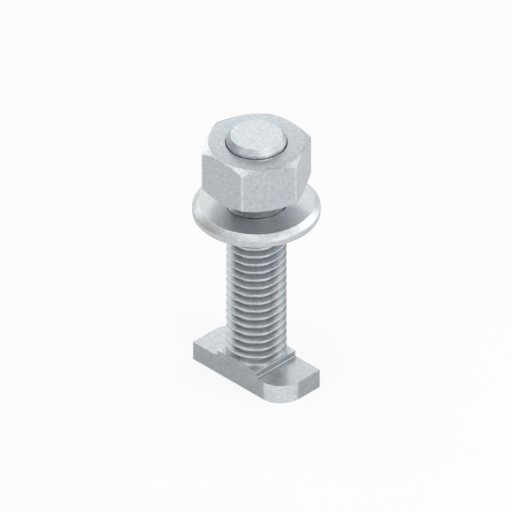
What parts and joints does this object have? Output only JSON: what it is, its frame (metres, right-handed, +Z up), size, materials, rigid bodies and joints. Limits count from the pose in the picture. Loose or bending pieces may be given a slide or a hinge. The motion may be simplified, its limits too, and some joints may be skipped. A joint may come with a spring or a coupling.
{
  "type": "t slot bolt",
  "caption": "Hammer-head T slot bolt with a threaded shank, standing on its head, with a bevelled flat washer and a hexagon nut on the thread.",
  "frame": {"origin": "centre of the hammer head's underside, on the bolt's axis", "axes": "+Z up the shank from the head to the nut, +X along the hammer head, +Y across it"},
  "size_m": [0.017, 0.017, 0.0386],
  "materials": {
    "bolt_zinc": "satin zinc plating, fine grain",
    "washer_zinc": "satin zinc plating, fine grain",
    "nut_zinc": "satin zinc plating, fine grain"
  },
  "bodies": {
    "bolt": {"t_bolt": "bolt_zinc"},
    "washer": {"flat_washer": "washer_zinc"},
    "nut": {"hex_nut": "nut_zinc"}
  },
  "joints": [
    {"name": "nut_climb", "type": "slide", "parent": "bolt", "child": "washer", "axis": [0, 0, 1], "range_m": [-0.0225, 0.0075]},
    {"name": "nut_spin", "type": "hinge", "parent": "washer", "child": "nut", "pos_m": [0, 0, 0.034], "axis": [0, 0, 1], "range_deg": [-6480, 2160]}
  ],
  "couplings": [
    {"joint": "nut_spin", "follows": "nut_climb", "rad_per_m": 5026.5}
  ]
}
